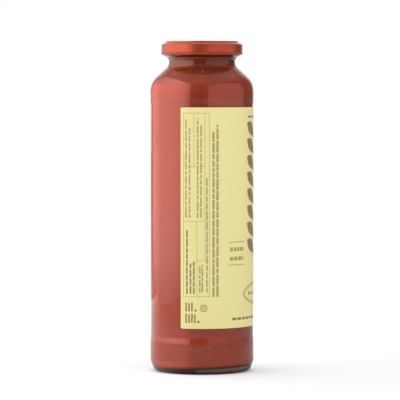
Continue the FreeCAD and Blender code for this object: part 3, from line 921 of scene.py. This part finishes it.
# degrees beside the camera, then metres away, wide, and from low to high, then radiance
panel_lamp("left_panel", -86, 0.60, 2.0, 0.0, 1.05, 1.68, peak=0.60, falloff=4.2, edge=0.5, dim_foot=0.04)
panel_lamp("right_panel", 59, 0.60, 1.24, 0.0, 0.70, 0.57, peak=0.5, falloff=0.0, dim_foot=0.12)
panel_lamp("left_glow", -103, 0.62, 1.24, 0.0, 1.5, 0.35, peak=0.5, falloff=4.0, edge=0.0, mirrored=False)
panel_lamp("left_rim", -152, 0.62, 0.8, 0.0, 0.4, 3.2, mirrored=False)
fill = panel_lamp("front_fill", 45, 1.6, 2.2, 0.2, 1.8, 1.42, mirrored=False)
fill.visible_transmission = False            # nor does it show through the glass

# %% [markdown]
# The world is a function of direction, and Light Path gives each kind of ray its own. The camera sees
# white. Matt surfaces are lit mostly from behind, with a dim ceiling, so that the hollow of the neck stays
# dark. Mirrors see a narrow white backdrop, so that the glass keeps dark edges. What passes through glass
# is bright all round, a little less to the right, and that is the even light on the sauce.

# %% The world
def make_world():
    """Brightness by direction: along is the cosine of the angle from straight behind, straight the same
    in the level plane, and leftward the cosine from the left. Each is stretched to a range.
    """
    world = bpy.data.worlds.new("studio")
    world.use_nodes = True
    tree = world.node_tree
    tree.nodes.clear()
    direction = add(tree, "ShaderNodeTexCoord").outputs["Generated"]
    split = add(tree, "ShaderNodeSeparateXYZ", {0: direction})
    level = add(tree, "ShaderNodeCombineXYZ", {"X": split.outputs["X"], "Y": split.outputs["Y"]})
    flat = add(tree, "ShaderNodeVectorMath", {0: level.outputs[0]}, operation="LENGTH").outputs["Value"]
    along, leftward = toward(tree, direction, BEHIND), toward(tree, direction, LEFT)
    straight = maths(tree, "DIVIDE", along, flat)
    ceiling = remap(tree, split.outputs["Z"], 0.45, 0.75, 0.0, 0.5)
    matt = maths(tree, "MAXIMUM", remap(tree, along, 0.62, 0.92, 0.10, 0.95), ceiling)
    mirror = maths(tree, "MAXIMUM", remap(tree, straight, 0.84, 0.985, 0.12, 1.0), ceiling)
    through = maths(tree, "MAXIMUM", remap(tree, along, 0.2, 0.6), remap(tree, leftward, -0.2, 0.8, 0.6, 1.0))
    ray = add(tree, "ShaderNodeLightPath")
    seen = maths(tree, "MAXIMUM", ray.outputs["Is Camera Ray"], ray.outputs["Is Transmission Ray"])
    lit = add(tree, "ShaderNodeMix", {0: ray.outputs["Is Glossy Ray"], 2: matt, 3: mirror}).outputs[0]
    white = add(tree, "ShaderNodeMix", {0: ray.outputs["Is Transmission Ray"], 2: 1.0, 3: through}).outputs[0]
    strength = add(tree, "ShaderNodeMix", {0: seen, 2: lit, 3: white}).outputs[0]
    glow = add(tree, "ShaderNodeBackground", {"Color": (1, 1, 1, 1), "Strength": strength})
    add(tree, "ShaderNodeOutputWorld", {"Surface": glow.outputs[0]})
    bpy.context.scene.world = world
    print("world:", world.name)


make_world()

# %% [markdown]
# The floor has to run into the white behind it and still carry the jar's shadow. So the camera sees it
# grey with a little glow, none of it under the jar, and plain white further out. Mirrors and glass see that
# only where the backdrop is, and other rays see a plain matt floor, which adds no light of its own.

# %% The floor
FLOOR_GLOW = 0.40
GLOW_FROM = ((RING - 6) * MM, (RING + 2) * MM)             # metres from the jar's axis
WHITE_FROM = (0.2, 0.7)


def make_floor():
    """A disc: away is the distance from the axis, along how far a place lies behind it, and straight and
    left are the shares of away that lie behind and to the left.
    """
    bpy.ops.mesh.primitive_circle_add(vertices=96, radius=6.0, fill_type="NGON", location=(0, 0, 0))
    floor = bpy.context.object
    floor.name = "floor"
    material, tree, output = new_material("floor_white")
    diffuse = add(tree, "ShaderNodeBsdfDiffuse", {"Color": (0.80, 0.80, 0.79, 1)})
    shown = add(tree, "ShaderNodeBsdfDiffuse", {"Color": (0.60, 0.60, 0.60, 1)})
    place = object_place(tree)
    away = add(tree, "ShaderNodeVectorMath", {0: place}, operation="LENGTH").outputs["Value"]
    open_floor = remap(tree, away, *GLOW_FROM, 0.0, FLOOR_GLOW)
    glow = add(tree, "ShaderNodeEmission", {"Color": (1, 1, 1, 1), "Strength": open_floor})
    both = add(tree, "ShaderNodeAddShader", {0: shown.outputs[0], 1: glow.outputs[0]})
    white = add(tree, "ShaderNodeEmission", {"Color": (1, 1, 1, 1), "Strength": 1.0})
    fade = add(tree, "ShaderNodeMixShader", {0: remap(tree, away, *WHITE_FROM), 1: both.outputs[0],
                                             2: white.outputs[0]})
    along = toward(tree, place, BEHIND)
    straight = maths(tree, "DIVIDE", along, away)
    left = maths(tree, "DIVIDE", toward(tree, place, LEFT), away)
    near_left = maths(tree, "MULTIPLY", remap(tree, left, 0.3, 0.7, 0.0, 0.7),
                      remap(tree, away, 0.30, 0.55, 1.0, 0.0))
    narrow = maths(tree, "MAXIMUM", remap(tree, straight, 0.93, 0.99), near_left)
    ray = add(tree, "ShaderNodeLightPath")
    glossy, passed = ray.outputs["Is Glossy Ray"], ray.outputs["Is Transmission Ray"]
    behind = add(tree, "ShaderNodeMix", {0: glossy, 2: remap(tree, along, -0.02, 0.05), 3: narrow}).outputs[0]
    mirrored = add(tree, "ShaderNodeMixShader", {0: behind, 1: shown.outputs[0], 2: fade.outputs[0]})
    indirect = add(tree, "ShaderNodeMixShader", {0: maths(tree, "MAXIMUM", glossy, passed),
                                                 1: diffuse.outputs[0], 2: mirrored.outputs[0]})
    mix = add(tree, "ShaderNodeMixShader", {0: ray.outputs["Is Camera Ray"], 1: indirect.outputs[0],
                                            2: fade.outputs[0]})
    tree.links.new(mix.outputs[0], output.inputs["Surface"])
    floor.data.materials.append(material)
    print("floor:", len(floor.data.vertices), "corners")


make_floor()

# %% [markdown]
# The camera stands level with the shoulder, almost two metres away, and looks down by two and a half
# degrees through a long lens, which keeps the jar's sides parallel.

# %% The camera
DISTANCE, EYE_HEIGHT = 1.8727, 0.1995        # metres
LENS, SENSOR = 243.0, 36.0                   # millimetres
LOOK_DOWN = math.radians(2.481)
ASIDE = 0.00074                              # the jar stands this share of the distance right of the middle


def make_camera():
    """A camera that looks at a point at distance x tan(look down) below its own height."""
    camera = bpy.data.objects.new("camera", bpy.data.cameras.new("camera"))
    camera.data.lens = LENS
    camera.data.sensor_width = SENSOR
    camera.location = beside(0, DISTANCE, EYE_HEIGHT)
    target = beside(LEFT, DISTANCE * ASIDE, EYE_HEIGHT - DISTANCE * math.tan(LOOK_DOWN))
    camera.rotation_euler = (target - camera.location).to_track_quat("-Z", "Y").to_euler()
    bpy.context.scene.collection.objects.link(camera)
    bpy.context.scene.camera = camera
    print("camera at", *(round(number, 4) for number in camera.location))


make_camera()
bpy.context.scene.view_settings.view_transform = "Standard"
